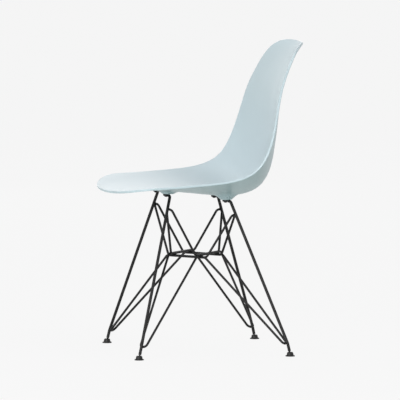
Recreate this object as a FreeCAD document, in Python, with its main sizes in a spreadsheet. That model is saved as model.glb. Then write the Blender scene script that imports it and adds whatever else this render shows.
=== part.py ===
"""Moulded plastic shell chair on a welded four-legged wire base.

Frame: millimetres, +Z up, the sitter faces -Y, +X is the sitter's left.
The origin lies on the floor, under the middle of the chair's bounding box.
"""
import FreeCAD, Part
import math
import os
import Sketcher
from FreeCAD import Vector

DOC = FreeCAD.newDocument("ShellChair")

# Driving sizes in millimetres and degrees; the sheet below holds them all.
SIZES = {
    # moulded shell
    "seat_height": 424.0,          # floor to the lowest part of the seat's upper face
    "shell_wall": 6.0,
    "dish_power": 1.86,            # 2 is a parabola across the shell
    "roll_power": 6.0,             # how close to the rim the roll stays
    "lean_span": 45.0,             # the sides rise square to a chord reaching this far each way
    "front_corner_length": 91.0,   # how far back the rounded front corners reach
    "front_corner_power": 2.06,
    "top_corner_length": 98.0,     # how far down the rounded top corners reach
    "top_corner_power": 2.34,
    "net_pitch": 20.0,             # spacing of the surface's control net
    "net_margin": 10.0,            # how far the net reaches past the rim
    # mounting bosses under the seat, and what is screwed into them
    "front_mount_x": 63.5,
    "front_mount_y": -111.5,
    "front_boss_drop": -5.5,       # boss face below the seat height; negative is above it
    "front_boss_set_back": 6.0,    # boss centre behind its screw
    "rear_mount_x": 69.0,
    "rear_mount_y": 50.5,
    "rear_boss_drop": 13.0,
    "rear_boss_set_back": 1.5,
    "boss_face_radius": 15.5,
    "boss_flare": 1.0,             # growth of the boss radius for each millimetre of height
    "boss_blank_height": 40.0,     # before the middle of the wall trims it
    "insert_diameter": 9.0,
    "insert_length": 7.5,
    "insert_bore": 6.0,
    "insert_pocket_spare": 0.1,
    "screw_clearance": 0.1,
    "screw_reach": 7.0,            # how far the screw goes into the insert
    "screw_head_diameter": 10.5,
    "screw_head_height": 3.3,
    "screw_head_edge": 1.0,        # straight part under the dome
    "screw_crown_diameter": 6.3,
    "screw_socket_width": 4.0,
    "screw_socket_depth": 2.0,
    # legs
    "leg_diameter": 8.0,
    "hook_length": 13.5,           # leg corner to screw, along the hook
    "bar_end_gap": 6.5,            # from the screw back to the end of the round bar
    "hook_bend": 7.0,
    "tab_thickness": 5.0,
    "tab_width": 13.0,
    "tab_tip": 2.0,                # the tab's rounded end is centred this far past the screw
    "tab_hole_clearance": 0.3,
    "front_hook_angle": 220.0,     # heading of the hook on the +X side, from +X towards +Y
    "rear_hook_angle": 243.0,
    "front_foot_x": 205.5,
    "front_foot_y": -216.5,
    "front_knee_x": 203.5,
    "front_knee_y": -210.0,
    "rear_foot_x": 208.0,
    "rear_foot_y": 196.0,
    "rear_knee_x": 206.0,
    "rear_knee_y": 189.5,
    "knee_height": 35.0,
    "knee_bend": 30.0,
    # bracing wires
    "wire_diameter": 6.3,
    "wire_bend": 10.0,
    "weld_gap": 0.05,
    "upper_crown_drop": 34.0,      # hook axis down to the upper braces' crowns
    "lower_crown_height": 37.0,
    "ring_height": 259.5,
    "ring_centre_y": -18.0,
    "ring_half_length": 59.0,
    "ring_half_width": 62.0,
    "ring_overshoot": 18.5,        # along each ring wire, past the crossing
    # self-levelling glides
    "glide_diameter": 25.4,
    "glide_flange": 2.8,
    "flange_chamfer": 1.0,
    "glide_height": 11.4,
    "bell_lower_diameter": 18.8,
    "bell_upper_diameter": 16.4,
    "bell_chamfer": 1.8,
    "bell_mouth_diameter": 9.6,
    "ball_diameter": 8.0,
    "ball_height": 6.2,
    "ball_spigot_diameter": 4.0,
    "spigot_depth": 2.4,           # past the ball's centre
    "spigot_root": 1.0,            # into the full-width end of the leg
    "rod_standoff": 7.6,           # ball centre to the full-width end of the leg
    "cup_wall": 1.0,
    "cup_half_angle": 26.0,        # degrees of latitude above and below the equator
    "seat_half_angle": 40.0,
    "ball_clearance": 0.06,
    "pad_diameter": 20.0,
    "pad_thickness": 1.9,
    "pad_clearance": 0.1,
}

# Cross-sections of the shell from the front lip to the top of the back: where the
# middle of the upper face lies (y, and height over the seat), the half width, how
# far the sides rise out of the seat, and how far the rim rolls back down.
SECTIONS = [
    ("lip", -275.0, 17.0, 220.0, 4.0, 5.5),
    ("crown", -222.5, 21.0, 227.0, 15.0, 4.5),
    ("thigh", -146.0, 18.5, 229.5, 23.5, 4.0),
    ("ham", -56.0, 10.0, 227.5, 36.0, 2.0),
    ("sit", 28.0, 0.5, 228.5, 52.5, 0.0),
    ("rump", 93.0, 0.5, 230.0, 68.0, -2.0),
    ("heel", 146.0, 21.0, 228.5, 75.5, -2.0),
    ("loin", 176.5, 78.0, 230.0, 66.5, -1.5),
    ("waist", 183.0, 135.0, 226.5, 48.0, -1.5),
    ("rib", 187.0, 202.0, 211.0, 33.0, -1.0),
    ("blade", 193.0, 278.0, 186.0, 21.0, 1.0),
    ("shoulder", 220.0, 344.5, 158.5, 20.0, 2.0),
    ("top", 270.5, 405.5, 148.5, 37.0, 2.0),
]
SECTION_FIELDS = ("y", "height", "half_width", "rise", "roll")


def fill_sheet():
    """Write every driving size into a spreadsheet, one aliased cell each."""
    sheet = DOC.addObject("Spreadsheet::Sheet", "Sizes")
    rows = dict(SIZES)
    for name, *values in SECTIONS:
        for field, value in zip(SECTION_FIELDS, values):
            rows[f"{name}_{field}"] = value
    for row, (alias, value) in enumerate(rows.items(), start=1):
        sheet.set(f"A{row}", alias)
        sheet.set(f"B{row}", str(value))
        sheet.setAlias(f"B{row}", alias)
    DOC.recompute()
    return sheet


SHEET = fill_sheet()


def size(alias):
    """Current value of one driving size."""
    return float(SHEET.get(alias))


def bind(target, **expressions):
    """Tie properties of an object to expressions over the sheet's cells."""
    for name, expression in expressions.items():
        target.setExpression(name, expression)


def primitive(kind, label, placement=None, **expressions):
    """Add one Part primitive whose sizes follow the sheet."""
    piece = DOC.addObject(f"Part::{kind}", label)
    bind(piece, **expressions)
    if placement is not None:
        piece.Placement = placement
    return piece


def joined(label, pieces):
    """Fuse several objects into one."""
    fusion = DOC.addObject("Part::MultiFuse", label)
    fusion.Shapes = pieces
    return fusion


def cut(label, base, tool):
    """Subtract one object from another."""
    result = DOC.addObject("Part::Cut", label)
    result.Base = base
    result.Tool = tool
    return result


def pointing(origin, direction):
    """Placement whose local Z axis starts at a point and looks along a direction."""
    return FreeCAD.Placement(origin, FreeCAD.Rotation(Vector(0, 0, 1), direction))


def revolved(label, profile, placement):
    """Body turned from a closed outline of (radius, height) expressions about local Z."""
    body = DOC.addObject("PartDesign::Body", label)
    sketch = body.newObject("Sketcher::SketchObject", f"{label}_outline")
    plane = [f for f in body.Origin.OriginFeatures if f.Role == "XZ_Plane"][0]
    sketch.AttachmentSupport = (plane, [""])
    sketch.MapMode = "FlatFace"
    corners = [Vector(evaluate(radius), evaluate(height), 0) for radius, height in profile]
    count = len(corners)
    for index, start in enumerate(corners):
        sketch.addGeometry(Part.LineSegment(start, corners[(index + 1) % count]), False)
    for index in range(count):
        sketch.addConstraint(Sketcher.Constraint("Coincident", index, 2, (index + 1) % count, 1))
    for index, (radius, height) in enumerate(profile):
        place_vertex(sketch, index, radius, corners[index].x, "DistanceX")
        place_vertex(sketch, index, height, corners[index].y, "DistanceY")
    turn = body.newObject("PartDesign::Revolution", f"{label}_turned")
    turn.Profile = sketch
    turn.ReferenceAxis = (sketch, ["V_Axis"])
    turn.Angle = 360.0
    body.Placement = placement
    return body


def evaluate(expression):
    """Number that an expression over the sheet gives now."""
    names = {alias: size(alias) for alias in words_of(expression)}
    result = expression
    for alias in sorted(names, key=len, reverse=True):
        result = result.replace(f"Sizes.{alias}", repr(names[alias]))
    return float(FreeCAD.Units.Quantity(result).Value)


def words_of(expression):
    """Aliases that an expression names after the sheet's name."""
    return [part.split(" ")[0].rstrip(")") for part in expression.split("Sizes.")[1:]]


def place_vertex(sketch, index, expression, value, kind):
    """Hold one coordinate of a sketch vertex at an expression over the sheet."""
    if expression == "0":
        axis = -2 if kind == "DistanceX" else -1
        sketch.addConstraint(Sketcher.Constraint("PointOnObject", index, 1, axis))
        return
    number = sketch.addConstraint(Sketcher.Constraint(kind, -1, 1, index, 1, value))
    sketch.setExpression(f"Constraints[{number}]", expression)


# Shell surface

def natural_spline(knots, values):
    """Natural cubic spline through values at increasing knots."""
    last = len(knots) - 1
    bend = [0.0] * (last + 1)
    factor = [0.0] * (last + 1)
    for i in range(1, last):
        before = knots[i] - knots[i - 1]
        after = knots[i + 1] - knots[i]
        slope_change = (values[i + 1] - values[i]) / after - (values[i] - values[i - 1]) / before
        pivot = 2.0 * (before + after) - before * factor[i - 1]
        factor[i] = after / pivot
        bend[i] = (6.0 * slope_change - before * bend[i - 1]) / pivot
    for i in range(last - 1, 0, -1):
        bend[i] -= factor[i] * bend[i + 1]

    def spline(at):
        i = max(0, min(last - 1, sum(1 for knot in knots[1:last] if knot <= at)))
        span = knots[i + 1] - knots[i]
        if at < knots[0] or at > knots[last]:
            edge = 0 if at < knots[0] else last
            slope = (values[i + 1] - values[i]) / span
            slope += span * (bend[i] / 6.0 if edge else -bend[i + 1] / 6.0)
            return values[edge] + slope * (at - knots[edge])
        left = (knots[i + 1] - at) / span
        right = (at - knots[i]) / span
        curve = (left ** 3 - left) * bend[i] + (right ** 3 - right) * bend[i + 1]
        return left * values[i] + right * values[i + 1] + curve * span * span / 6.0

    return spline


class ShellForm:
    """Upper face of the shell as a function of the way along it and the sideways place."""

    def __init__(self):
        names = [section[0] for section in SECTIONS]
        columns = {field: [size(f"{name}_{field}") for name in names] for field in SECTION_FIELDS}
        run = [0.0]
        for i in range(1, len(names)):
            step_y = columns["y"][i] - columns["y"][i - 1]
            step_z = columns["height"][i] - columns["height"][i - 1]
            run.append(run[-1] + math.hypot(step_y, step_z))
        self.length = run[-1]
        self.spline = {field: natural_spline(run, columns[field]) for field in SECTION_FIELDS}
        self.power = size("dish_power")
        self.margin = size("net_margin")
        self.reach = max(columns["half_width"]) + self.margin
        self.spans_along = round((self.length + 2.0 * self.margin) / size("net_pitch"))
        self.spans_across = round(2.0 * self.reach / size("net_pitch"))

    def point(self, along, across):
        """Point of the upper face: the middle line, lifted along its own normal."""
        middle, normal = self.middle(along)
        share = abs(across) / self.spline["half_width"](along)
        lift = self.spline["rise"](along) * share ** self.power
        lift -= self.spline["roll"](along) * share ** size("roll_power")
        return middle + normal * lift + Vector(across, 0, 0)

    def middle(self, along):
        """Point of the middle line, and the sitter's side of a long chord around it."""
        step = size("lean_span")
        y, z = self.spline["y"], self.spline["height"]
        tangent = Vector(0, y(along + step) - y(along - step), z(along + step) - z(along - step))
        tangent.normalize()
        centre = Vector(0, y(along), size("seat_height") + z(along))
        return centre, Vector(0, -tangent.z, tangent.y)

    def offset_point(self, along, across, depth):
        """Point a given depth under the upper face, square to it."""
        step = 0.5
        lengthways = self.point(along + step, across) - self.point(along - step, across)
        sideways = self.point(along, across + step) - self.point(along, across - step)
        normal = sideways.cross(lengthways).normalize()
        return self.point(along, across) - normal * depth

    def half_width(self, along):
        """Half width of the outline, drawn in to nothing at the lip and the top."""
        front = max(0.0, 1.0 - along / size("front_corner_length"))
        top = max(0.0, 1.0 - (self.length - along) / size("top_corner_length"))
        width = self.spline["half_width"](along)
        width *= corner_share(front, size("front_corner_power"))
        return width * corner_share(top, size("top_corner_power"))

    def surface(self, depth):
        """Smooth surface a given depth under the upper face."""
        rows = [
            [self.offset_point(self.along_at(u), self.across_at(v), depth) for v in greville(self.spans_across)]
            for u in greville(self.spans_along)
        ]
        rows = sharpened(rows)
        rows = transposed(sharpened(transposed(rows)))
        surface = Part.BSplineSurface()
        u_knots, u_mults = even_knots(self.spans_along)
        v_knots, v_mults = even_knots(self.spans_across)
        surface.buildFromPolesMultsKnots(rows, u_mults, v_mults, u_knots, v_knots, False, False, 3, 3)
        return surface

    def along_at(self, u):
        """Way along the shell at a surface parameter."""
        return u / self.spans_along * (self.length + 2.0 * self.margin) - self.margin

    def across_at(self, v):
        """Sideways place at a surface parameter."""
        return (2.0 * v / self.spans_across - 1.0) * self.reach

    def parameters(self, along, across):
        """Surface parameters of a place on the shell."""
        u = (along + self.margin) / (self.length + 2.0 * self.margin) * self.spans_along
        v = (across / self.reach + 1.0) / 2.0 * self.spans_across
        return u, v

    def outline(self):
        """Closed curve of the rim in the surface's own parameters."""
        points = []
        count = self.spans_along // 4 * 4
        for i in range(count):
            turn = 2.0 * math.pi * i / count
            along = self.length * (1.0 - math.cos(turn)) / 2.0
            side = 1.0 if turn <= math.pi else -1.0
            u, v = self.parameters(along, side * self.half_width(along))
            points.append(FreeCAD.Base.Vector2d(u, v))
        curve = Part.Geom2d.BSplineCurve2d()
        curve.interpolate(Points=points, PeriodicFlag=True)
        return curve


def corner_share(depth_share, power):
    """Width left at a rounded corner: a superellipse quadrant."""
    return max(0.0, 1.0 - depth_share ** power) ** (1.0 / power)


def even_knots(spans):
    """Knots and multiplicities of a clamped cubic with evenly spaced spans."""
    knots = [float(i) for i in range(spans + 1)]
    return knots, [4] + [1] * (spans - 1) + [4]


def greville(spans):
    """Parameters at which the poles of an evenly spaced clamped cubic sit."""
    full = [0.0] * 4 + [float(i) for i in range(1, spans)] + [float(spans)] * 4
    return [sum(full[i + 1:i + 4]) / 3.0 for i in range(spans + 3)]


def sharpened(rows):
    """Push inner poles out so that the surface passes close to the given points."""
    result = [list(row) for row in rows]
    for i in range(2, len(rows) - 2):
        for j, point in enumerate(rows[i]):
            curvature = rows[i + 1][j] + rows[i - 1][j] - point * 2.0
            result[i][j] = point - curvature / 6.0
    return result


def transposed(rows):
    """Rows turned into columns."""
    return [list(column) for column in zip(*rows)]


def shell_solid(form):
    """Wall of the shell: two trimmed faces joined by a narrow rim face."""
    upper = form.surface(0.0)
    lower = form.surface(size("shell_wall"))
    outline = form.outline()
    first, last = outline.FirstParameter, outline.LastParameter
    quarters = [first + (last - first) * i / 4.0 for i in range(5)]
    faces = []
    rims = []
    for surface in (upper, lower):
        edges = [outline.toShape(surface, quarters[i], quarters[i + 1]) for i in range(4)]
        face = Part.Face(surface, Part.Wire(edges))
        face.validate()
        faces.append(face)
        rims.append(edges)
    for top_edge, low_edge in zip(*rims):
        faces.append(Part.makeRuledSurface(top_edge, low_edge))
    shell = Part.makeShell(faces)
    shell.sewShape()
    solid = Part.Solid(shell)
    if solid.Volume < 0:
        solid.reverse()
    return solid


def mount_points():
    """Boss face centres under the shell on the +X side, by end."""
    points = {}
    for end in ("front", "rear"):
        height = size("seat_height") - size(f"{end}_boss_drop")
        points[end] = Vector(size(f"{end}_mount_x"), size(f"{end}_mount_y"), height)
    return points


def space_over_seat(form):
    """Block that stands on the middle of the seat's wall, between its risen sides."""
    middle = form.surface(size("shell_wall") / 2.0)
    seat_end = form.length / 2.0
    side = form.reach - size("net_pitch") * 2.0
    u_front, v_right = form.parameters(form.margin, -side)
    u_rear, v_left = form.parameters(seat_end, side)
    return middle.toShape(u_front, u_rear, v_right, v_left).extrude(Vector(0, 0, size("seat_height")))


def moulded_shell(form, mounts):
    """Shell with its four bosses moulded on and bored for their inserts.

    The mounts are pairs of a boss centre and the screw place on its face.
    """
    solid = shell_solid(form)
    face_radius = size("boss_face_radius")
    height = size("boss_blank_height")
    top_radius = face_radius + size("boss_flare") * height
    above = space_over_seat(form)
    for centre, _ in mounts:
        boss = Part.makeCone(face_radius, top_radius, height, centre).cut(above)
        boss = min(boss.Solids, key=lambda piece: piece.BoundBox.ZMin)
        solid = solid.fuse(boss)
    for _, mount in mounts:
        depth = size("insert_length") + size("insert_pocket_spare")
        bore = Part.makeCylinder(size("insert_diameter") / 2.0, depth, mount)
        solid = solid.cut(bore)
    return solid


# Bent rods and wires

def unit(vector):
    """Vector of length one."""
    return Vector(vector).normalize()


def bent_path(points, radii):
    """Straight runs through the points, each inner corner rounded to its radius."""
    edges = []
    start = points[0]
    for i in range(1, len(points) - 1):
        back = unit(points[i - 1] - points[i])
        ahead = unit(points[i + 1] - points[i])
        half = back.getAngle(ahead) / 2.0
        tangent = radii[i - 1] / math.tan(half)
        entry = points[i] + back * tangent
        leave = points[i] + ahead * tangent
        bisector = unit(back + ahead)
        summit = points[i] + bisector * (radii[i - 1] / math.sin(half) - radii[i - 1])
        edges.append(Part.LineSegment(start, entry).toShape())
        edges.append(Part.Arc(entry, summit, leave).toShape())
        start = leave
    edges.append(Part.LineSegment(start, points[-1]).toShape())
    return Part.Wire(edges)


def swept(label, path, radius_expression):
    """Round bar carried along a path."""
    spine = DOC.addObject("Part::Feature", f"{label}_line")
    spine.Shape = path
    first = path.Edges[0]
    heading = first.tangentAt(first.FirstParameter)
    section = primitive("Circle", f"{label}_section", pointing(first.Vertexes[0].Point, heading),
                        Radius=radius_expression)
    sweep = DOC.addObject("Part::Sweep", f"{label}_bar")
    sweep.Sections = [section]
    sweep.Spine = (spine, [f"Edge{i + 1}" for i in range(len(path.Edges))])
    sweep.Solid = True
    sweep.Frenet = False
    return sweep


def mirrored(point, side):
    """Point on the chosen side of the chair."""
    return Vector(point.x * side, point.y, point.z)


class Leg:
    """Places of one leg rod: hook, knee and the ball it stands on."""

    def __init__(self, end, side, mount):
        self.side = side
        self.name = f"{end}_{'left' if side > 0 else 'right'}"
        self.mount = mount
        angle = math.radians(size(f"{end}_hook_angle"))
        heading = Vector(math.cos(angle), math.sin(angle), 0)
        self.heading = mirrored(heading, side)
        hook_height = mount.z - size("leg_diameter") / 2.0
        screw = Vector(mount.x, mount.y, hook_height)
        self.corner = screw - self.heading * size("hook_length")
        self.knee = mirrored(Vector(size(f"{end}_knee_x"), size(f"{end}_knee_y"), size("knee_height")), side)
        self.ball = mirrored(Vector(size(f"{end}_foot_x"), size(f"{end}_foot_y"), size("ball_height")), side)
        self.screw = screw
        self.stub = unit(self.knee - self.ball)

    def axis_at(self, height):
        """Point of the straight main run at a height."""
        share = (height - self.knee.z) / (self.corner.z - self.knee.z)
        return self.knee + (self.corner - self.knee) * share


def leg_rod(leg):
    """Leg: bent rod with a flattened, drilled hook tab and a spigot for the ball."""
    label = f"leg_rod_{leg.name}"
    hook_end = leg.screw - leg.heading * size("bar_end_gap")
    rod_end = leg.ball + leg.stub * size("rod_standoff")
    path = bent_path([hook_end, leg.corner, leg.knee, rod_end], [size("hook_bend"), size("knee_bend")])
    bar = swept(label, path, "Sizes.leg_diameter / 2")
    tab_base = Vector(leg.screw.x, leg.screw.y, leg.mount.z - size("tab_thickness"))
    tip = tab_base + leg.heading * size("tab_tip")
    disc = primitive("Cylinder", f"{label}_tab", FreeCAD.Placement(tip, FreeCAD.Rotation()),
                     Radius="Sizes.tab_width / 2", Height="Sizes.tab_thickness")
    turn = FreeCAD.Rotation(Vector(1, 0, 0), leg.heading * -1.0)
    corner = tip + turn.multVec(Vector(0, -size("tab_width") / 2.0, 0))
    neck = primitive("Box", f"{label}_neck", FreeCAD.Placement(corner, turn),
                     Length="Sizes.tab_tip + Sizes.bar_end_gap", Width="Sizes.tab_width",
                     Height="Sizes.tab_thickness")
    spigot_start = leg.ball - leg.stub * size("spigot_depth")
    spigot = primitive("Cylinder", f"{label}_spigot", pointing(spigot_start, leg.stub),
                       Radius="Sizes.ball_spigot_diameter / 2", Height="Sizes.spigot_depth + Sizes.rod_standoff + Sizes.spigot_root")
    hole_base = tab_base - Vector(0, 0, size("tab_thickness"))
    hole = primitive("Cylinder", f"{label}_hole", FreeCAD.Placement(hole_base, FreeCAD.Rotation()),
                     Radius="Sizes.insert_bore / 2 + Sizes.tab_hole_clearance", Height="Sizes.tab_thickness * 3")
    blank = joined(f"{label}_blank", [bar, disc, neck, spigot])
    return cut(label, blank, hole)


class Ring:
    """Diamond of crossing wires half way up the base."""

    def __init__(self):
        self.front = Vector(0, size("ring_centre_y") - size("ring_half_length"), 0)
        self.rear = Vector(0, size("ring_centre_y") + size("ring_half_length"), 0)
        self.node = Vector(size("ring_half_width"), size("ring_centre_y"), 0)
        self.pitch = (size("wire_diameter") + size("weld_gap")) / 2.0

    def side_line(self, tip, side, upper, high):
        """Both corners of one ring wire: beyond its tip, and beyond its node on a side.

        The upper braces' wires lie inside the lower braces' ones, and the two pairs
        of legs use two layers.
        """
        node = mirrored(self.node, side)
        run = unit(node - tip)
        outward = Vector(run.y, -run.x, 0)
        if outward.dot((node + tip) * 0.5 - Vector(0, size("ring_centre_y"), 0)) < 0:
            outward = outward * -1.0
        shift = outward * (-self.pitch if upper else self.pitch)
        layer = Vector(0, 0, size("ring_height") + (self.pitch if high else -self.pitch))
        beyond = run * size("ring_overshoot")
        return tip - beyond + shift + layer, node + beyond + shift + layer


def crown_corner(crown, first, second, radius):
    """Corner point whose rounding of a radius passes through the crown."""
    corner = Vector(crown)
    for _ in range(40):
        back, ahead = unit(first - corner), unit(second - corner)
        half = back.getAngle(ahead) / 2.0
        corner = crown - unit(back + ahead) * (radius / math.sin(half) - radius)
    return corner


def brace(leg, ring, end, upper):
    """Hairpin wire of one leg: from the ring up or down to the leg and back to the ring."""
    high = (end == "front") == (leg.side > 0)
    tip = ring.front if end == "front" else ring.rear
    other_tip = ring.rear if end == "front" else ring.front
    tip_corner, far_node = ring.side_line(tip, -leg.side, upper, high)
    far_tip, node_corner = ring.side_line(other_tip, leg.side, upper, high)
    height = leg.corner.z - size("upper_crown_drop") if upper else size("lower_crown_height")
    axis_point = leg.axis_at(height)
    run = unit(leg.corner - leg.knee)
    inward = (tip_corner + node_corner) * 0.5 - axis_point
    inward = unit(inward - run * inward.dot(run))
    touch = (size("leg_diameter") + size("wire_diameter")) / 2.0 + size("weld_gap")
    crown = axis_point + inward * touch
    corner = crown_corner(crown, tip_corner, node_corner, size("wire_bend"))
    start = (tip_corner + far_node) * 0.5
    finish = (node_corner + far_tip) * 0.5
    path = bent_path([start, tip_corner, corner, node_corner, finish], [size("wire_bend")] * 3)
    level = "upper" if upper else "lower"
    wire = swept(f"{level}_brace_{leg.name}", path, "Sizes.wire_diameter / 2")
    return wire


# Fasteners and glides

def threaded_insert(leg):
    """Brass sleeve moulded into the boss."""
    profile = [
        ("Sizes.insert_bore / 2", "0"),
        ("Sizes.insert_diameter / 2", "0"),
        ("Sizes.insert_diameter / 2", "Sizes.insert_length"),
        ("Sizes.insert_bore / 2", "Sizes.insert_length"),
    ]
    return revolved(f"threaded_insert_{leg.name}", profile, FreeCAD.Placement(leg.mount, FreeCAD.Rotation()))


def screw(leg):
    """Button-head screw from below, through the tab and into the insert."""
    label = f"mount_screw_{leg.name}"
    shank = "Sizes.insert_bore / 2 - Sizes.screw_clearance"
    profile = [
        ("0", "0"),
        ("Sizes.screw_crown_diameter / 2", "0"),
        ("Sizes.screw_head_diameter / 2", "Sizes.screw_head_height - Sizes.screw_head_edge"),
        ("Sizes.screw_head_diameter / 2", "Sizes.screw_head_height"),
        (shank, "Sizes.screw_head_height"),
        (shank, "Sizes.screw_head_height + Sizes.tab_thickness + Sizes.screw_reach"),
        ("0", "Sizes.screw_head_height + Sizes.tab_thickness + Sizes.screw_reach"),
    ]
    base = leg.mount - Vector(0, 0, size("tab_thickness") + size("screw_head_height"))
    blank = revolved(f"{label}_blank", profile, FreeCAD.Placement(base, FreeCAD.Rotation()))
    socket = primitive("Prism", f"{label}_socket", FreeCAD.Placement(base, FreeCAD.Rotation()),
                       Circumradius="Sizes.screw_socket_width / 2 / cos(30)", Height="Sizes.screw_socket_depth")
    socket.Polygon = 6
    return cut(label, blank, socket)


def glide_ball(leg):
    """Steel ball pressed on the leg's spigot."""
    label = f"glide_ball_{leg.name}"
    ball = primitive("Sphere", f"{label}_sphere", pointing(leg.ball, leg.stub), Radius="Sizes.ball_diameter / 2")
    start = leg.ball - leg.stub * size("spigot_depth")
    bore = primitive("Cylinder", f"{label}_bore", pointing(start, leg.stub),
                     Radius="Sizes.ball_spigot_diameter / 2", Height="Sizes.ball_diameter")
    return cut(label, ball, bore)


def sphere_band(label, centre, radius_expression, half_angle_expression):
    """Ball with its caps cut off above and below a latitude."""
    band = primitive("Sphere", label, FreeCAD.Placement(centre, FreeCAD.Rotation()),
                     Radius=radius_expression, Angle1=f"-{half_angle_expression}", Angle2=half_angle_expression)
    return band


def glide_cup(leg):
    """Nylon ring that grips the ball and turns inside the boot."""
    label = f"glide_cup_{leg.name}"
    inner = "Sizes.ball_diameter / 2 + Sizes.ball_clearance"
    outer = f"{inner} + Sizes.cup_wall"
    band = sphere_band(f"{label}_band", leg.ball, outer, "Sizes.cup_half_angle")
    hollow = primitive("Sphere", f"{label}_hollow", FreeCAD.Placement(leg.ball, FreeCAD.Rotation()), Radius=inner)
    return cut(label, band, hollow)


def glide_boot(leg):
    """Bell and flange of the glide, hollowed for the cup, the leg's end and the pad."""
    label = f"glide_boot_{leg.name}"
    floor = Vector(leg.ball.x, leg.ball.y, 0)
    recess = "Sizes.pad_diameter / 2 + Sizes.pad_clearance"
    roof = "Sizes.pad_thickness + Sizes.pad_clearance"
    profile = [
        (recess, "Sizes.pad_clearance"),
        ("Sizes.glide_diameter / 2", "Sizes.pad_clearance"),
        ("Sizes.glide_diameter / 2", "Sizes.glide_flange - Sizes.flange_chamfer"),
        ("Sizes.glide_diameter / 2 - Sizes.flange_chamfer", "Sizes.glide_flange"),
        ("Sizes.bell_lower_diameter / 2", "Sizes.glide_flange"),
        ("Sizes.bell_upper_diameter / 2", "Sizes.glide_height - Sizes.bell_chamfer"),
        ("Sizes.bell_upper_diameter / 2 - Sizes.bell_chamfer", "Sizes.glide_height"),
        ("Sizes.bell_mouth_diameter / 2", "Sizes.glide_height"),
        ("Sizes.ball_diameter / 2 - Sizes.ball_clearance", "Sizes.ball_height"),
        ("Sizes.ball_diameter / 2 - Sizes.ball_clearance", roof),
        (recess, roof),
    ]
    blank = revolved(f"{label}_blank", profile, FreeCAD.Placement(floor, FreeCAD.Rotation()))
    seat_radius = "Sizes.ball_diameter / 2 + Sizes.cup_wall + 2 * Sizes.ball_clearance"
    seat = sphere_band(f"{label}_seat", leg.ball, seat_radius, "Sizes.seat_half_angle")
    return cut(label, blank, seat)


def glide_pad(leg):
    """Sole disc that closes the boot from below and stands on the floor."""
    profile = [
        ("0", "0"),
        ("Sizes.pad_diameter / 2", "0"),
        ("Sizes.pad_diameter / 2", "Sizes.pad_thickness"),
        ("0", "Sizes.pad_thickness"),
    ]
    floor = Vector(leg.ball.x, leg.ball.y, 0)
    return revolved(f"glide_pad_{leg.name}", profile, FreeCAD.Placement(floor, FreeCAD.Rotation()))


def build():
    """Make every piece and return the finished ones by name."""
    mounts = mount_points()
    form = ShellForm()
    shell = DOC.addObject("Part::Feature", "seat_shell")
    both_sides = []
    for end, mount in mounts.items():
        centre = mount + Vector(0, size(f"{end}_boss_set_back"), 0)
        both_sides += [(mirrored(centre, side), mirrored(mount, side)) for side in (1, -1)]
    shell.Shape = moulded_shell(form, both_sides)
    pieces = {"seat_shell": shell}
    ring = Ring()
    for end in ("front", "rear"):
        for side in (1, -1):
            leg = Leg(end, side, mirrored(mounts[end], side))
            pieces[f"leg_rod_{leg.name}"] = leg_rod(leg)
            pieces[f"upper_brace_{leg.name}"] = brace(leg, ring, end, True)
            pieces[f"lower_brace_{leg.name}"] = brace(leg, ring, end, False)
            pieces[f"threaded_insert_{leg.name}"] = threaded_insert(leg)
            pieces[f"mount_screw_{leg.name}"] = screw(leg)
            pieces[f"glide_ball_{leg.name}"] = glide_ball(leg)
            pieces[f"glide_cup_{leg.name}"] = glide_cup(leg)
            pieces[f"glide_boot_{leg.name}"] = glide_boot(leg)
            pieces[f"glide_pad_{leg.name}"] = glide_pad(leg)
    for name, piece in pieces.items():
        piece.Label = name
    return pieces


def check_and_write(pieces):
    """Refuse any failed feature or bad shape, then write one STEP file per piece."""
    DOC.recompute()
    for thing in DOC.Objects:
        if {"Invalid", "Error"} & set(thing.State):
            raise RuntimeError(f"{thing.Label} failed: {thing.State}")
    os.makedirs("parts", exist_ok=True)
    for name, piece in pieces.items():
        shape = piece.Shape
        if shape.isNull() or not shape.isValid() or len(shape.Solids) != 1:
            raise RuntimeError(f"{name} is not one valid solid")
    for name, piece in pieces.items():
        piece.Shape.exportStep(f"parts/{name}.step")
        box = piece.Shape.BoundBox
        print(f"{name}: volume {piece.Shape.Volume / 1000:.2f} cm3, "
              f"z {box.ZMin:.2f} to {box.ZMax:.2f}")


check_and_write(build())
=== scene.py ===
"""Moulded plastic shell chair on a welded black wire base, dressed for the camera.

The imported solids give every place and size. The shell is computed here again as a fine
surface with a rounded rim and filleted bosses; the steel, nylon and brass pieces get
their own finishes.
"""

import logging
import math
from dataclasses import dataclass, field
from enum import Enum
from typing import Callable

import bpy
import numpy as np
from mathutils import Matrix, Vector


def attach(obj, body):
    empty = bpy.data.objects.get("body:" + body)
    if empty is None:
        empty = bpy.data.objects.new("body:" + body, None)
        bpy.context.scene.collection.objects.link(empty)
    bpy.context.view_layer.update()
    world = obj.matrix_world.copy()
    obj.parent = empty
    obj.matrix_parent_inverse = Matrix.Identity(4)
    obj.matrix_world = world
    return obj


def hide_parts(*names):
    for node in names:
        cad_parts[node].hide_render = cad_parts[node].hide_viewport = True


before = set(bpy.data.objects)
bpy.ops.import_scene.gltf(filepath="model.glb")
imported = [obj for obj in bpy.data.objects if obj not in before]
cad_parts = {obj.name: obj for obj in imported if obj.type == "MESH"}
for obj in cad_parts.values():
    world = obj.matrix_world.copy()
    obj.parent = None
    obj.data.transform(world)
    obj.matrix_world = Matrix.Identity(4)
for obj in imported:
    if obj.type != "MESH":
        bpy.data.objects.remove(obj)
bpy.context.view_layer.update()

LOG = logging.getLogger("chair")
MM = 0.001
Array = np.ndarray


class Side(Enum):
    """Side of the chair as the sitter has it; the value is the sign of X."""

    LEFT = 1
    RIGHT = -1


class End(Enum):
    """Front or rear pair of legs."""

    FRONT = "front"
    REAR = "rear"


CORNERS = [(end, side) for end in End for side in Side]


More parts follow.
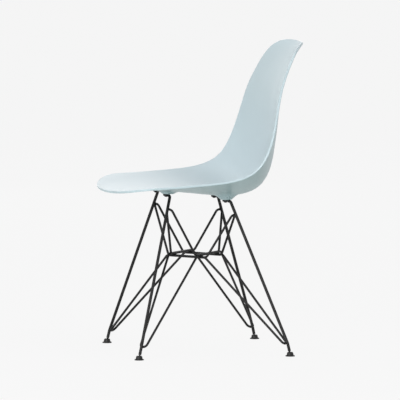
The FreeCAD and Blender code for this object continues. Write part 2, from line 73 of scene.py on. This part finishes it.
def node_name(kind: str, end: End, side: Side) -> str:
    """Name of the solid of a kind at one corner of the base."""
    return f"{kind}_{end.value}_{side.name.lower()}"


# Colours and shader nodes

def linear(code: str) -> tuple[float, float, float, float]:
    """Turn an sRGB hex code into linear light.

    Args:
        code: Six hex digits, with or without a leading hash.

    Returns:
        Red, green, blue and an alpha of one.
    """
    digits = code.lstrip("#")
    shares = [int(digits[i:i + 2], 16) / 255.0 for i in (0, 2, 4)]
    light = [s / 12.92 if s <= 0.04045 else ((s + 0.055) / 1.055) ** 2.4 for s in shares]
    return light[0], light[1], light[2], 1.0


def add_node(tree: bpy.types.NodeTree, kind: str, inputs: dict | None = None,
             **settings: object) -> bpy.types.Node:
    """Add a shader node, set its properties, and set or link its inputs.

    Args:
        tree: Node tree to add to.
        kind: Node type without the ShaderNode prefix.
        inputs: Input name to a value, or to an output socket to link from.
        settings: Properties of the node itself.

    Returns:
        The new node.
    """
    node = tree.nodes.new(f"ShaderNode{kind}")
    for name, value in settings.items():
        setattr(node, name, value)
    for name, value in (inputs or {}).items():
        if isinstance(value, bpy.types.NodeSocket):
            tree.links.new(value, node.inputs[name])
        else:
            node.inputs[name].default_value = value
    return node


def per_mm(feature: float) -> float:
    """Texture scale on Object coordinates for a feature of some millimetres."""
    return 1.0 / (feature * MM)


def new_tree(name: str) -> tuple[bpy.types.Material, bpy.types.NodeTree]:
    """Empty node material, with its tree."""
    material = bpy.data.materials.new(name)
    material.use_nodes = True
    material.node_tree.nodes.clear()
    return material, material.node_tree


@dataclass(frozen=True)
class SurfaceFinish:
    """A dyed or coated surface with a fine grain and slight unevenness.

    Attributes:
        name: Name of the material.
        colour: Mean colour as an sRGB hex code.
        shade: Slightly darker colour that clouds drift to.
        roughness: Mean roughness.
        roughness_spread: How far roughness wanders either way.
        cloud: Size of the colour clouds in millimetres.
        grain: Size of the grain in millimetres.
        grain_height: Height of the grain in millimetres.
        specular: Specular level.
        metallic: Share of bare metal.
    """

    name: str
    colour: str
    shade: str
    roughness: float
    roughness_spread: float
    cloud: float
    grain: float
    grain_height: float
    specular: float = 0.5
    metallic: float = 0.0

    def material(self) -> bpy.types.Material:
        """Build the finish as a node material on Object coordinates."""
        material, tree = new_tree(self.name)
        place = add_node(tree, "TexCoord").outputs["Object"]
        clouds = add_node(tree, "TexNoise", {
            "Vector": place, "Scale": per_mm(self.cloud), "Detail": 3.0,
        })
        colour = add_node(tree, "Mix", {"Factor": clouds.outputs["Fac"]}, data_type="RGBA")
        colour.inputs[6].default_value = linear(self.colour)
        colour.inputs[7].default_value = linear(self.shade)
        wander = add_node(tree, "MapRange", {
            "Value": clouds.outputs["Fac"],
            "To Min": self.roughness - self.roughness_spread,
            "To Max": self.roughness + self.roughness_spread,
        })
        grain = add_node(tree, "TexNoise", {
            "Vector": place, "Scale": per_mm(self.grain), "Detail": 2.0,
        })
        bump = add_node(tree, "Bump", {
            "Height": grain.outputs["Fac"], "Distance": self.grain_height * MM, "Strength": 1.0,
        })
        shader = add_node(tree, "BsdfPrincipled", {
            "Base Color": colour.outputs[2],
            "Roughness": wander.outputs["Result"],
            "Normal": bump.outputs["Normal"],
            "Specular IOR Level": self.specular,
            "Metallic": self.metallic,
        })
        add_node(tree, "OutputMaterial", {"Surface": shader.outputs["BSDF"]})
        return material


SHELL_PLASTIC = SurfaceFinish(
    "shell_plastic", "#C3D2D8", "#BFCED4", roughness=0.37, roughness_spread=0.02,
    cloud=60.0, grain=0.6, grain_height=0.006)
POWDER_COAT = SurfaceFinish(
    "powder_coat", "#0E0D0D", "#0B0A0A", roughness=0.5, roughness_spread=0.05,
    cloud=14.0, grain=0.5, grain_height=0.012, specular=0.3)
BLACK_ZINC = SurfaceFinish(
    "black_zinc", "#2A2A2C", "#1F1F21", roughness=0.38, roughness_spread=0.06,
    cloud=4.0, grain=0.3, grain_height=0.006, metallic=0.6)
BRASS = SurfaceFinish(
    "brass", "#C9A45C", "#B8924C", roughness=0.34, roughness_spread=0.06,
    cloud=5.0, grain=0.2, grain_height=0.006, metallic=1.0)
POLISHED_STEEL = SurfaceFinish(
    "polished_steel", "#C8C8CA", "#BDBDC0", roughness=0.2, roughness_spread=0.04,
    cloud=4.0, grain=0.2, grain_height=0.003, metallic=1.0)
NATURAL_NYLON = SurfaceFinish(
    "natural_nylon", "#DAD8CE", "#D2CFC3", roughness=0.5, roughness_spread=0.04,
    cloud=5.0, grain=0.3, grain_height=0.008)
BOOT_PLASTIC = SurfaceFinish(
    "boot_plastic", "#131212", "#100F0F", roughness=0.5, roughness_spread=0.05,
    cloud=8.0, grain=0.35, grain_height=0.012, specular=0.35)
SOLE_PLASTIC = SurfaceFinish(
    "sole_plastic", "#242323", "#1E1D1D", roughness=0.62, roughness_spread=0.08,
    cloud=4.0, grain=0.6, grain_height=0.03)


# Meshes

@dataclass
class Surface:
    """Vertices and quads of one surface, in millimetres."""

    points: Array
    quads: Array

    def joined(self, other: "Surface") -> "Surface":
        """This surface and another as one, with no shared vertices."""
        quads = np.vstack([self.quads, other.quads + len(self.points)])
        return Surface(np.vstack([self.points, other.points]), quads)


def grid_quads(rows: int, columns: int, closed: bool = False) -> Array:
    """Quads of a grid of vertices, row after row.

    Args:
        rows: Number of rows.
        columns: Vertices in a row.
        closed: True if each row's end joins its start.

    Returns:
        One row of four vertex numbers for each quad.
    """
    index = np.arange(rows * columns).reshape(rows, columns)
    ahead = np.roll(index, -1, axis=1)
    if not closed:
        index, ahead = index[:, :-1], ahead[:, :-1]
    corners = [index[:-1], ahead[:-1], ahead[1:], index[1:]]
    return np.stack([corner.ravel() for corner in corners], axis=1)


def mesh_object(name: str, surface: Surface, material: bpy.types.Material) -> bpy.types.Object:
    """Put a surface into a smooth-shaded object at the origin.

    Args:
        name: Name of the piece.
        surface: Vertices in millimetres, and quads.
        material: Its only material.

    Returns:
        The linked object.
    """
    mesh = bpy.data.meshes.new(name)
    mesh.vertices.add(len(surface.points))
    mesh.vertices.foreach_set("co", (surface.points * MM).astype(np.float32).ravel())
    count = len(surface.quads)
    mesh.loops.add(count * 4)
    mesh.loops.foreach_set("vertex_index", surface.quads.astype(np.int32).ravel())
    mesh.polygons.add(count)
    mesh.polygons.foreach_set("loop_start", np.arange(0, count * 4, 4, dtype=np.int32))
    mesh.polygons.foreach_set("use_smooth", np.ones(count, dtype=bool))
    mesh.update(calc_edges=True)
    mesh.validate()
    mesh.materials.append(material)
    piece = bpy.data.objects.new(name, mesh)
    bpy.context.scene.collection.objects.link(piece)
    return piece


def unit(vectors: Array) -> Array:
    """Vectors scaled to length one."""
    return vectors / np.linalg.norm(vectors, axis=-1, keepdims=True)


def natural_spline(knots: Array, values: Array) -> Callable[[Array], Array]:
    """Natural cubic spline through rows of values, carried on straight past its ends.

    Args:
        knots: Increasing parameters.
        values: One row of values for each knot.

    Returns:
        Function from an array of parameters to an array of rows.
    """
    spans = np.diff(knots)
    slopes = np.diff(values, axis=0) / spans[:, None]
    count = len(knots)
    system = np.eye(count)
    inner = np.arange(1, count - 1)
    system[inner, inner - 1] = spans[:-1]
    system[inner, inner] = 2.0 * (spans[:-1] + spans[1:])
    system[inner, inner + 1] = spans[1:]
    right = np.zeros_like(values)
    right[1:-1] = 6.0 * np.diff(slopes, axis=0)
    bends = np.linalg.solve(system, right)
    end_slopes = (
        slopes[0] - spans[0] * bends[1] / 6.0,
        slopes[-1] + spans[-1] * bends[-2] / 6.0,
    )

    def spline(at: Array) -> Array:
        """Rows at parameters: the cubic of each span, or the end tangent."""
        inside = np.clip(at, knots[0], knots[-1])
        span = np.clip(np.searchsorted(knots, inside, side="right") - 1, 0, count - 2)
        width = spans[span][..., None]
        left = (knots[span + 1] - inside)[..., None] / width
        right_share = 1.0 - left
        rows = left * values[span] + right_share * values[span + 1]
        rows = rows + ((left ** 3 - left) * bends[span]
                       + (right_share ** 3 - right_share) * bends[span + 1]) * width ** 2 / 6.0
        before = (np.minimum(at - knots[0], 0.0))[..., None] * end_slopes[0]
        after = (np.maximum(at - knots[-1], 0.0))[..., None] * end_slopes[1]
        return rows + before + after

    return spline


# Cross-sections of the shell, lip to top: middle of the upper face (y, height over the
# seat), half width, rise of the sides and roll of the rim, all in millimetres.
SECTIONS = np.array([
    [-275.0, 17.0, 220.0, 4.0, 5.5],
    [-222.5, 21.0, 227.0, 15.0, 4.5],
    [-146.0, 18.5, 229.5, 23.5, 4.0],
    [-56.0, 10.0, 227.5, 36.0, 2.0],
    [28.0, 0.5, 228.5, 52.5, 0.0],
    [93.0, 0.5, 230.0, 68.0, -2.0],
    [146.0, 21.0, 228.5, 75.5, -2.0],
    [176.5, 78.0, 230.0, 66.5, -1.5],
    [183.0, 135.0, 226.5, 48.0, -1.5],
    [187.0, 202.0, 211.0, 33.0, -1.0],
    [193.0, 278.0, 186.0, 21.0, 1.0],
    [220.0, 344.5, 158.5, 20.0, 2.0],
    [270.5, 405.5, 148.5, 37.0, 2.0],
])


@dataclass
class ShellForm:
    """Upper face of the shell over the way along it and the sideways place.

    Attributes:
        seat_height: Height of the seat's lowest part.
        wall: Thickness of the shell.
        power: Exponent of the dish across the shell.
        roll_power: Exponent that keeps the roll close to the rim.
        lean_span: Half the chord that the sides rise square to.
        front_corner: Length and exponent of the rounded front corners.
        top_corner: Length and exponent of the rounded top corners.
        outline_samples: Places at which one side of the outline is measured.
    """

    seat_height: float = 424.0
    wall: float = 6.0
    power: float = 1.86
    roll_power: float = 6.0
    lean_span: float = 45.0
    front_corner: tuple[float, float] = (91.0, 2.06)
    top_corner: tuple[float, float] = (98.0, 2.34)
    outline_samples: int = 4001
    length: float = field(init=False)
    spline: Callable[[Array], Array] = field(init=False, repr=False)

    def __post_init__(self) -> None:
        """Run the spline of the sections over their chord length."""
        steps = np.linalg.norm(np.diff(SECTIONS[:, :2], axis=0), axis=1)
        run = np.concatenate([[0.0], np.cumsum(steps)])
        self.length = float(run[-1])
        self.spline = natural_spline(run, SECTIONS)

    def point(self, along: Array, across: Array) -> Array:
        """Point of the upper face.

        The middle line is lifted square to a long chord by
        rise * share ** power - roll * share ** roll_power, where share is the sideways
        place over the half width.

        Args:
            along: Way along the middle line.
            across: Sideways place.

        Returns:
            Points, one more axis than the inputs.
        """
        rows = self.spline(along)
        chord = self.spline(along + self.lean_span) - self.spline(along - self.lean_span)
        chord = unit(chord[..., :2])
        share = np.abs(across) / rows[..., 2]
        lift = rows[..., 3] * share ** self.power - rows[..., 4] * share ** self.roll_power
        y = rows[..., 0] - chord[..., 1] * lift
        z = self.seat_height + rows[..., 1] + chord[..., 0] * lift
        return np.stack([across, y, z], axis=-1)

    def slopes(self, along: Array, across: Array) -> tuple[Array, Array]:
        """Derivatives of the upper face along and across, by central difference."""
        step = 0.5
        lengthways = self.point(along + step, across) - self.point(along - step, across)
        sideways = self.point(along, across + step) - self.point(along, across - step)
        return lengthways, sideways

    def normal(self, along: Array, across: Array) -> Array:
        """Unit normal on the sitter's side."""
        lengthways, sideways = self.slopes(along, across)
        return unit(np.cross(sideways, lengthways))

    def half_width(self, along: Array) -> Array:
        """Half width of the outline, with superellipse corners at lip and top."""
        width = self.spline(along)[..., 2]
        ends = ((along, self.front_corner), (self.length - along, self.top_corner))
        for reach, (length, power) in ends:
            share = np.clip(1.0 - reach / length, 0.0, 1.0)
            width = width * np.maximum(1.0 - share ** power, 0.0) ** (1.0 / power)
        return width

    def outline(self, count: int) -> Array:
        """Closed rim in the (along, across) plane, evenly spaced, from the lip's middle.

        Args:
            count: Number of points.

        Returns:
            Points of the rim, up the left side and down the right one.
        """
        turn = np.linspace(0.0, math.pi, self.outline_samples)
        along = self.length * (1.0 - np.cos(turn)) / 2.0
        half = np.stack([along, self.half_width(along)], axis=1)
        loop = np.vstack([half, (half * [1.0, -1.0])[-2::-1]])
        steps = np.linalg.norm(np.diff(self.point(loop[:, 0], loop[:, 1]), axis=0), axis=1)
        run = np.concatenate([[0.0], np.cumsum(steps)])
        even = np.linspace(0.0, run[-1], count, endpoint=False)
        return np.stack([np.interp(even, run, loop[:, 0]), np.interp(even, run, loop[:, 1])], axis=1)


@dataclass
class SeatShell:
    """The moulded shell with its rim and its four mounting bosses.

    Attributes:
        form: Surface of the shell.
        edge_radius: Rounding of the rim's two edges.
        edge_steps: Vertices across each rounding.
        along_count: Grid cells along the shell.
        across_count: Grid cells across the shell.
        underside_passes: Corrections that place a boss's vertex under the shell.
        boss_face_radius: Radius of a boss's flat face.
        boss_flare: Growth of a boss's radius for each millimetre of height.
        boss_fillet: Reach of the blend between a boss and the underside.
        boss_edge: Softness of the edge of a boss's face, in square millimetres.
        boss_reach: How far the blend is followed past a boss's face.
        boss_turns: Vertices around a boss.
        boss_places: Centre of each boss face on the left side, by end, set back from
            its screw.
    """

    form: ShellForm = field(default_factory=ShellForm)
    edge_radius: float = 1.3
    edge_steps: int = 6
    along_count: int = 232
    across_count: int = 128
    underside_passes: int = 12
    boss_face_radius: float = 15.5
    boss_flare: float = 1.0
    boss_fillet: float = 10.0
    boss_edge: float = 0.3
    boss_reach: float = 38.0
    boss_turns: int = 96
    boss_places: dict[End, tuple[float, float, float]] = field(default_factory=lambda: {
        End.FRONT: (63.5, -105.5, 429.5),
        End.REAR: (69.0, 52.0, 411.0),
    })

    def rim_loops(self, loop: Array) -> tuple[Array, Array]:
        """Rim of the wall, rolled over from the upper face to the lower one.

        Each rim point carries a rounded rectangle's outline, set out along the
        outward direction in the surface and the surface's normal.

        Args:
            loop: Rim in the (along, across) plane.

        Returns:
            The rim's loops in space, upper face first, and the inset loop in the
            (along, across) plane at which the faces start.
        """
        form, radius = self.form, self.edge_radius
        along, across = loop[:, 0], loop[:, 1]
        place = form.point(along, across)
        normal = form.normal(along, across)
        tangent = unit(np.roll(place, -1, axis=0) - np.roll(place, 1, axis=0))
        outward = unit(np.cross(tangent, normal))
        middle = form.point(np.full(1, form.length / 2.0), np.zeros(1))
        if np.sum(outward[0] * (place[0] - middle[0])) < 0.0:
            outward = -outward
        bend = np.linspace(0.0, math.pi / 2.0, self.edge_steps)
        upper = np.stack([radius * (np.sin(bend) - 1.0), radius * (1.0 - np.cos(bend))], axis=1)
        lower = np.stack([upper[::-1, 0], form.wall - upper[::-1, 1]], axis=1)
        profile = np.vstack([upper, lower])
        loops = (place[None] + outward[None] * profile[:, 0, None, None]
                 - normal[None] * profile[:, 1, None, None])
        lengthways, sideways = form.slopes(along, across)
        basis = np.stack([lengthways, sideways], axis=-1)
        gram = np.swapaxes(basis, 1, 2) @ basis
        pull = np.swapaxes(basis, 1, 2) @ (outward * -radius)[..., None]
        inset = loop + np.linalg.solve(gram, pull)[..., 0]
        return loops, inset

    def face_parameters(self, inset: Array) -> Array:
        """Grid over the inside of the inset rim, blended between its four sides.

        Args:
            inset: Inset rim, with a corner at each of the grid's corners.

        Returns:
            Grid of (along, across).
        """
        rows, columns = self.along_count, self.across_count
        total = 2 * (rows + columns)
        half = columns // 2
        numbers = np.arange(total)
        front = np.arange(-half, columns - half + 1) % total
        left = numbers[half:half + rows + 1]
        top = numbers[half + rows:half + rows + columns + 1][::-1]
        right = numbers[half + rows + columns:half + 2 * rows + columns + 1][::-1]
        back = np.linspace(0.0, 1.0, rows + 1)[:, None, None]
        across = np.linspace(0.0, 1.0, columns + 1)[None, :, None]
        lip, crest = inset[front], inset[top]
        between_ends = (1 - back) * lip[None] + back * crest[None]
        between_sides = (1 - across) * inset[right][:, None] + across * inset[left][:, None]
        corners = ((1 - back) * ((1 - across) * lip[0] + across * lip[-1])
                   + back * ((1 - across) * crest[0] + across * crest[-1]))
        return between_ends + between_sides - corners

    def wall_surface(self) -> Surface:
        """Both faces of the wall and the rolled rim between them, as one surface."""
        form = self.form
        rows, columns = self.along_count, self.across_count
        total = 2 * (rows + columns)
        loop = form.outline(total)
        loops, inset = self.rim_loops(loop)
        grid = self.face_parameters(inset)
        upper = form.point(grid[..., 0], grid[..., 1])
        lower = upper - form.normal(grid[..., 0], grid[..., 1]) * form.wall
        face = grid_quads(rows + 1, columns + 1)
        surface = Surface(upper.reshape(-1, 3), face[:, ::-1])
        surface = surface.joined(Surface(lower.reshape(-1, 3), face))
        rim = Surface(loops.reshape(-1, 3), grid_quads(len(loops), total, closed=True))
        return surface.joined(rim)

    def underside_height(self, x: Array, y: Array) -> Array:
        """Height of the wall's underside over a place of the plan.

        Repeated corrections find the place on the shell whose lower face lies over
        the wanted x and y.
        """
        form = self.form
        along = y - SECTIONS[0, 0]
        across = x.copy()
        for _ in range(self.underside_passes):
            place = form.point(along, across) - form.normal(along, across) * form.wall
            across = across + (x - place[..., 0])
            along = along + (y - place[..., 1])
        return place[..., 2]

    def boss_surface(self, end: End, side: Side) -> Surface:
        """One boss as a polar grid.

        Its height is the smooth minimum of a flared cone and the wall's underside,
        and its outer ring sinks into the wall.
        """
        x0, y0, z0 = self.boss_places[end]
        x0 *= side.value
        edge = self.boss_face_radius
        rings = np.concatenate([
            np.linspace(0.0, edge - 1.0, 8),
            np.linspace(edge - 0.6, edge + 1.2, 7),
            np.linspace(edge + 2.0, edge + self.boss_reach, 44),
        ])
        turn = np.linspace(0.0, 2.0 * math.pi, self.boss_turns, endpoint=False)
        radius = rings[:, None] + 0.0 * turn[None]
        x = x0 + radius * np.cos(turn)
        y = y0 + radius * np.sin(turn)
        wall = self.underside_height(x, y)
        climb = (radius - edge) / self.boss_flare
        cone = z0 + (climb + np.sqrt(climb ** 2 + self.boss_edge)) / 2.0
        near = np.maximum(self.boss_fillet - np.abs(cone - wall), 0.0) / self.boss_fillet
        height = np.minimum(cone, wall) - near ** 2 * self.boss_fillet / 4.0
        height = np.where((cone > wall) & (near < 0.02), wall + 0.5, height)
        points = np.stack([x, y, height], axis=-1)
        return Surface(points.reshape(-1, 3), grid_quads(len(rings), len(turn), closed=True))

    def build(self) -> bpy.types.Object:
        """Make the shell, hang it on the frame body and stand it in for its solid."""
        surface = self.wall_surface()
        for end, side in CORNERS:
            surface = surface.joined(self.boss_surface(end, side))
        piece = mesh_object("moulded_shell", surface, SHELL_PLASTIC.material())
        weld = piece.modifiers.new("close_seams", "WELD")
        weld.merge_threshold = 0.00002
        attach(piece, "frame")
        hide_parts("seat_shell")
        return piece


@dataclass
class SteelBase:
    """Leg rods, braces, screws and inserts: the solids themselves, finished."""

    finishes: dict[str, SurfaceFinish] = field(default_factory=lambda: {
        "leg_rod": POWDER_COAT,
        "upper_brace": POWDER_COAT,
        "lower_brace": POWDER_COAT,
        "mount_screw": BLACK_ZINC,
        "threaded_insert": BRASS,
    })

    def build(self) -> list[bpy.types.Object]:
        """Give each solid of the base its finish."""
        return [dress(node_name(kind, end, side), finish)
                for kind, finish in self.finishes.items() for end, side in CORNERS]


@dataclass
class WeldBeads:
    """Weld nuggets between the wires of the ring, and between each brace and its leg.

    Attributes:
        leg_diameter: Leg rod.
        wire_diameter: Bracing wire.
        ring_height: Height of the plane between the ring's two layers.
        ring_centre: Y of the ring's middle.
        ring_reach: Half width and half length of the ring.
        overshoot: Length that each wire runs past a crossing.
        crown_heights: Height of the lower braces' crowns, and drop of the upper ones
            under the hook.
        knees: Leg axis at the knee on the left side, by end.
        hooks: Leg axis at the hook's corner on the left side, by end.
        leg_bead: Half lengths of a bead at a leg: across it, along it and inward.
        ring_bead: Half lengths of a bead at a crossing, along X, Y and Z.
    """

    leg_diameter: float = 8.0
    wire_diameter: float = 6.3
    ring_height: float = 259.5
    ring_centre: float = -18.0
    ring_reach: tuple[float, float] = (62.0, 59.0)
    overshoot: float = 18.5
    crown_heights: tuple[float, float] = (37.0, 34.0)
    knees: dict[End, tuple[float, float, float]] = field(default_factory=lambda: {
        End.FRONT: (203.5, -210.0, 35.0),
        End.REAR: (206.0, 189.5, 35.0),
    })
    hooks: dict[End, tuple[float, float, float]] = field(default_factory=lambda: {
        End.FRONT: (73.84, -102.82, 425.5),
        End.REAR: (75.13, 62.53, 407.0),
    })
    leg_bead: tuple[float, float, float] = (4.3, 3.4, 1.7)
    ring_bead: tuple[float, float, float] = (3.7, 3.7, 1.6)

    def nugget(self, centre: Array, axes: Array, reach: tuple[float, float, float]) -> Surface:
        """Flattened bead with the fine ripple of a weld pool.

        Args:
            centre: Middle of the bead.
            axes: Three unit vectors, one in each row.
            reach: Half length of the bead along each of them.

        Returns:
            Closed surface, ripples along its first axis.
        """
        polar = np.linspace(0.0, math.pi, 17)[:, None]
        turn = np.linspace(0.0, 2.0 * math.pi, 32, endpoint=False)[None]
        girth = np.sin(polar)
        ball = np.stack([
            np.cos(polar) + 0.0 * turn, girth * np.cos(turn), girth * np.sin(turn),
        ], axis=-1)
        ripple = 1.0 + 0.05 * np.sin(9.0 * ball[..., :1] + centre[0])
        lump = 0.04 * np.sin(5.0 * ball[..., 1:2] + centre[1])
        points = centre + (ball * (ripple + lump) * np.array(reach)) @ axes
        return Surface(points.reshape(-1, 3), grid_quads(polar.size, turn.size, closed=True))

    def at_legs(self, end: End, side: Side) -> list[Surface]:
        """Beads where the crowns of one corner's two braces touch the leg."""
        flip = np.array([side.value, 1.0, 1.0])
        knee, hook = np.array(self.knees[end]) * flip, np.array(self.hooks[end]) * flip
        run = unit(hook - knee)
        half = np.array(self.ring_reach)
        middle = half / 2.0 + unit(half) * self.overshoot
        ahead = -1.0 if end is End.FRONT else 1.0
        aim_y = self.ring_centre + ahead * middle[1]
        aim = np.array([side.value * middle[0], aim_y, self.ring_height])
        beads = []
        for height in (self.crown_heights[0], hook[2] - self.crown_heights[1]):
            axis_point = knee + (hook - knee) * (height - knee[2]) / (hook[2] - knee[2])
            inward = aim - axis_point
            inward = unit(inward - run * (inward @ run))
            across = np.cross(run, inward)
            centre = axis_point + inward * self.leg_diameter / 2.0
            beads.append(self.nugget(centre, np.array([across, run, inward]), self.leg_bead))
        return beads

    def at_ring(self) -> list[Surface]:
        """Beads where the two pairs of wires in each layer cross at the ring's corners."""
        half = np.array(self.ring_reach)
        corners = np.vstack([np.diag(half), -np.diag(half)])
        shift = np.diag(self.wire_diameter / 2.0 / unit(half)[::-1])
        crossings = (corners[:, None] + np.vstack([shift, -shift])[None]).reshape(-1, 2)
        middle = np.array([0.0, self.ring_centre, self.ring_height])
        return [self.nugget(middle + np.append(place, 0.0), np.eye(3), self.ring_bead)
                for place in crossings]

    def build(self) -> bpy.types.Object:
        """All beads as one coated piece of the frame."""
        beads = self.at_ring()
        for end, side in CORNERS:
            beads += self.at_legs(end, side)
        surface = beads[0]
        for bead in beads[1:]:
            surface = surface.joined(bead)
        piece = mesh_object("weld_beads", surface, MATERIALS[POWDER_COAT.name])
        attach(piece, "frame")
        return piece


@dataclass
class Glides:
    """Self-levelling glides under the four legs."""

    finishes: dict[str, SurfaceFinish] = field(default_factory=lambda: {
        "glide_ball": POLISHED_STEEL,
        "glide_cup": NATURAL_NYLON,
        "glide_boot": BOOT_PLASTIC,
        "glide_pad": SOLE_PLASTIC,
    })

    def build(self) -> list[bpy.types.Object]:
        """Give each solid of the glides its finish."""
        return [dress(node_name(kind, end, side), finish)
                for kind, finish in self.finishes.items() for end, side in CORNERS]


MATERIALS: dict[str, bpy.types.Material] = {}


def dress(node: str, finish: SurfaceFinish) -> bpy.types.Object:
    """Put a finish on a carried-over solid.

    Args:
        node: Name of the solid.
        finish: Its finish; solids of one finish share one material.

    Returns:
        The solid's object.
    """
    if finish.name not in MATERIALS:
        MATERIALS[finish.name] = finish.material()
    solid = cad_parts[node]
    for slot in solid.material_slots:
        slot.material = MATERIALS[finish.name]
    return solid


@dataclass(frozen=True)
class Softbox:
    """Square soft light that faces the middle of the chair.

    Attributes:
        name: Name of the lamp.
        azimuth: Heading from the chair, in degrees from +X towards +Y.
        elevation: Degrees above the horizon.
        power: Radiant power in watts.
        distance: Metres from the point that it faces.
        side: Side of the square in metres.
    """

    name: str
    azimuth: float
    elevation: float
    power: float
    distance: float = 4.6
    side: float = 2.4

    def build(self, target: Vector) -> bpy.types.Object:
        """Hang the lamp in its place and aim it at a target."""
        light = bpy.data.lights.new(self.name, "AREA")
        light.size = self.side
        light.energy = self.power
        turn, rise = math.radians(self.azimuth), math.radians(self.elevation)
        level = math.cos(rise)
        ray = Vector((level * math.cos(turn), level * math.sin(turn), math.sin(rise)))
        lamp = bpy.data.objects.new(self.name, light)
        lamp.visible_camera = False
        lamp.location = target + ray * self.distance
        lamp.rotation_euler = ray.to_track_quat("Z", "Y").to_euler()
        bpy.context.scene.collection.objects.link(lamp)
        return lamp


@dataclass
class Studio:
    """Pale floor and backdrop, soft lights, and the camera at the photograph's angle.

    Attributes:
        backdrop: Colour of floor and backdrop as seen.
        floor_show: Share of the floor's look that is its plain colour.
        floor_glow: Strength of that plain colour, which makes up for the lit share.
        floor_reach: Half the floor's side in millimetres.
        floor_bounce: Colour of the light that the floor throws back at the chair.
        glow: Strength of the even surroundings.
        lamps: Soft lights around and over the chair.
        lamp_target: Point that the lamps face, in metres.
        camera_place: Camera in metres.
        camera_target: Point that it looks at.
        lens: Focal length for a 36 mm sensor.
        shift: Sensor shift, in sensor widths.
    """

    backdrop: str = "#F6F6F6"
    floor_show: float = 0.96
    floor_glow: float = 1.02
    floor_reach: float = 60000.0
    floor_bounce: str = "#B8CCC7"
    glow: float = 0.25
    lamps: tuple[Softbox, ...] = (
        Softbox("front_left", 315.0, 12.0, 148.0),
        Softbox("left", 0.0, 12.0, 16.0),
        Softbox("rear_left_high", 45.0, 45.0, 51.0),
        Softbox("right_high", 200.0, 45.0, 18.0),
        Softbox("right", 180.0, 12.0, 9.0),
        Softbox("top", 90.0, 88.0, 29.0),
        Softbox("far_right", 169.0, 17.0, 10.3, 6.2, 2.2),
    )
    lamp_target: tuple[float, float, float] = (0.0, 0.0, 0.5)
    camera_place: tuple[float, float, float] = (18.253, -4.138, 2.196)
    camera_target: tuple[float, float, float] = (0.0, 0.0, 0.4)
    lens: float = 628.8
    shift: tuple[float, float] = (-0.00365, 0.004)

    def floor(self) -> bpy.types.Object:
        """Wide flat floor: mostly its plain colour to the camera, and a shadow catcher."""
        material, tree = new_tree("studio_floor")
        rays = add_node(tree, "LightPath").outputs
        seen = add_node(tree, "Math", {0: rays["Is Camera Ray"], 1: rays["Is Glossy Ray"]},
                        operation="MAXIMUM")
        share = add_node(tree, "Math", {0: seen.outputs[0], 1: self.floor_show}, operation="MULTIPLY")
        tone = add_node(tree, "Mix", {"Factor": rays["Is Camera Ray"]}, data_type="RGBA")
        tone.inputs[6].default_value = linear(self.floor_bounce)
        tone.inputs[7].default_value = linear(self.backdrop)
        lit = add_node(tree, "BsdfDiffuse", {"Color": tone.outputs[2]})
        plain = add_node(tree, "Emission", {
            "Color": linear(self.backdrop), "Strength": self.floor_glow,
        })
        mixed = add_node(tree, "MixShader", {
            0: share.outputs[0], 1: lit.outputs[0], 2: plain.outputs[0],
        })
        add_node(tree, "OutputMaterial", {"Surface": mixed.outputs[0]})
        sides = np.array([[-1.0, -1.0, 0.0], [1.0, -1.0, 0.0], [1.0, 1.0, 0.0], [-1.0, 1.0, 0.0]])
        slab = Surface(sides * self.floor_reach, np.array([[0, 1, 2, 3]]))
        floor = mesh_object("studio_floor", slab, material)
        return floor

    def world(self) -> None:
        """Even pale surroundings; the camera sees the backdrop's colour."""
        world = bpy.data.worlds.new("studio_world")
        world.use_nodes = True
        tree = world.node_tree
        tree.nodes.clear()
        rays = add_node(tree, "LightPath").outputs
        direct = add_node(tree, "Math", {0: rays["Is Camera Ray"], 1: rays["Is Transmission Ray"]},
                          operation="MAXIMUM")
        seen = add_node(tree, "Math", {0: direct.outputs[0], 1: rays["Is Glossy Ray"]},
                        operation="MAXIMUM")
        glow = add_node(tree, "Background", {"Color": (1.0, 1.0, 1.0, 1.0), "Strength": self.glow})
        plain = add_node(tree, "Background", {"Color": linear(self.backdrop), "Strength": 1.0})
        mixed = add_node(tree, "MixShader", {
            0: seen.outputs[0], 1: glow.outputs[0], 2: plain.outputs[0],
        })
        add_node(tree, "OutputWorld", {"Surface": mixed.outputs[0]})
        bpy.context.scene.world = world

    def camera(self) -> bpy.types.Object:
        """Camera that frames the chair as the photograph does."""
        data = bpy.data.cameras.new("photo_camera")
        data.lens = self.lens
        data.sensor_width = 36.0
        data.shift_x, data.shift_y = self.shift
        data.clip_end = 400.0
        camera = bpy.data.objects.new("photo_camera", data)
        camera.location = self.camera_place
        look = Vector(self.camera_place) - Vector(self.camera_target)
        camera.rotation_euler = look.to_track_quat("Z", "Y").to_euler()
        bpy.context.scene.collection.objects.link(camera)
        bpy.context.scene.camera = camera
        return camera

    def build(self) -> None:
        """Set up the whole studio."""
        bpy.context.scene.view_settings.view_transform = "Standard"
        self.floor()
        self.world()
        for lamp in self.lamps:
            lamp.build(Vector(self.lamp_target))
        self.camera()


def main() -> None:
    """Build the chair and the studio, and log the shell's face count and each finished solid."""
    logging.basicConfig(level=logging.INFO, format="%(name)s: %(message)s")
    Studio().build()
    shell = SeatShell().build()
    LOG.info("%s: %d faces", shell.name, len(shell.data.polygons))
    for solid in SteelBase().build() + [WeldBeads().build()] + Glides().build():
        LOG.info("%s: finished", solid.name)


if __name__ == "__main__":
    main()
